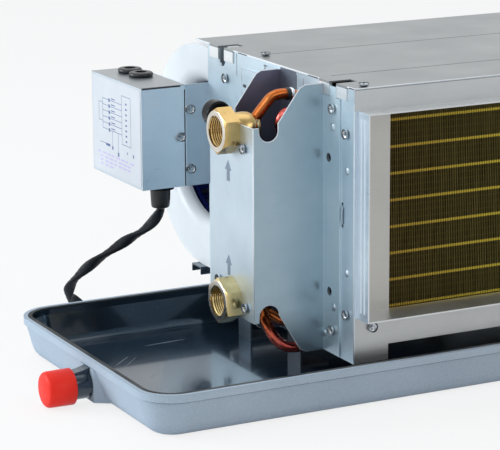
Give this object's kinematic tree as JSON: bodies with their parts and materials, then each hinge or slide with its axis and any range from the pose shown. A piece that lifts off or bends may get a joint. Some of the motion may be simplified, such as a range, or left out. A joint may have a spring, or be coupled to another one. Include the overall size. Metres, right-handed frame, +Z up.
{
  "type": "fan coil unit",
  "caption": "Concealed horizontal fan coil unit: finned water coil in a sheet casing over an extended drain pan, with twin blowers on one motor, brass connections and a side electrical box.",
  "frame": {"origin": "on the underside of the drain pan, level with the outer face of the left end plate and midway between the front and back rims of the pan", "axes": "+X along the casing from the water connections to the far end, +Y from the air outlet to the blowers, +Z up"},
  "size_m": [0.8801, 0.423, 0.2499],
  "materials": {
    "galvanised_sheet": "satin zinc-coated sheet",
    "pan_paint": "gloss dark paint",
    "pan_foam": "matte speckled foam skin",
    "red_plastic": "smooth soft plastic",
    "fin_foil": "gold hydrophilic coating",
    "copper": "drawn copper, heat-tinted near joints",
    "brass": "machined brass",
    "black_plastic": "smooth black",
    "black_rubber": "smooth rubber",
    "white_plastic": "semi-gloss white",
    "wheel_navy": "semi-gloss navy blue",
    "shaft_steel": "ground steel",
    "core_steel": "laminated steel",
    "motor_paint": "satin grey paint",
    "motor_cast": "die-cast",
    "cord_sleeve": "black sleeve",
    "terminal_ivory": "moulded ivory",
    "screw_zinc": "bright zinc"
  },
  "bodies": {
    "casing": {"drain_pan": "pan_paint", "pan_foam": "pan_foam", "drain_stub": "pan_paint", "pan_brackets": "pan_paint", "left_end_plate": "galvanised_sheet", "right_end_plate": "galvanised_sheet", "top_panel": "galvanised_sheet", "outlet_collar": "galvanised_sheet", "front_rail": "galvanised_sheet", "fan_deck": "galvanised_sheet", "fan_support": "pan_paint", "tube_sheet_left": "galvanised_sheet", "tube_sheet_right": "galvanised_sheet", "coil_fins": "fin_foil", "coil_tubes": "copper", "return_bends_left": "copper", "return_bends_right": "copper", "header_shroud": "galvanised_sheet", "header_out": "brass", "header_in": "brass", "feeder_out_upper": "copper", "feeder_out_lower": "copper", "feeder_in_front": "copper", "feeder_in_back": "copper", "air_vent_stem": "brass", "volute_left_upper": "white_plastic", "volute_left_lower": "white_plastic", "volute_right_upper": "white_plastic", "volute_right_lower": "white_plastic", "motor_stator": "core_steel", "motor_shell": "motor_paint", "motor_bell_left": "motor_cast", "motor_bell_right": "motor_cast", "motor_bearings": "shaft_steel", "motor_rubber_rings": "black_rubber", "motor_cradle": "galvanised_sheet", "motor_straps": "galvanised_sheet", "motor_gland": "black_plastic", "motor_lead": "cord_sleeve", "box_base": "galvanised_sheet", "box_cover": "galvanised_sheet", "box_bracket": "galvanised_sheet", "box_grommets": "black_rubber", "cable_bushing": "black_plastic", "terminal_block": "terminal_ivory", "capacitor": "terminal_ivory", "plate_screws": "screw_zinc", "front_screws": "screw_zinc", "top_screws": "screw_zinc", "shroud_screws": "screw_zinc", "box_screws": "screw_zinc", "deck_screws": "screw_zinc"},
    "rotor": {"motor_shaft": "shaft_steel", "motor_rotor": "core_steel", "fan_wheel_left": "wheel_navy", "fan_wheel_right": "wheel_navy"},
    "drain_cap": {"drain_cap": "red_plastic"},
    "vent_knob": {"air_vent_knob": "black_plastic"}
  },
  "joints": [
    {"name": "fan_spin", "type": "hinge", "parent": "casing", "child": "rotor", "pos_m": [0.32, 0.187, 0.142], "axis": [1, 0, 0], "continuous": true},
    {"name": "drain_cap_pull", "type": "slide", "parent": "casing", "child": "drain_cap", "axis": [-1, 0, 0], "range_m": [0, 0.03]},
    {"name": "vent_knob_turn", "type": "hinge", "parent": "casing", "child": "vent_knob", "pos_m": [-0.05, 0.014, 0.211], "axis": [0, 1, 0], "range_deg": [0, 360]}
  ]
}
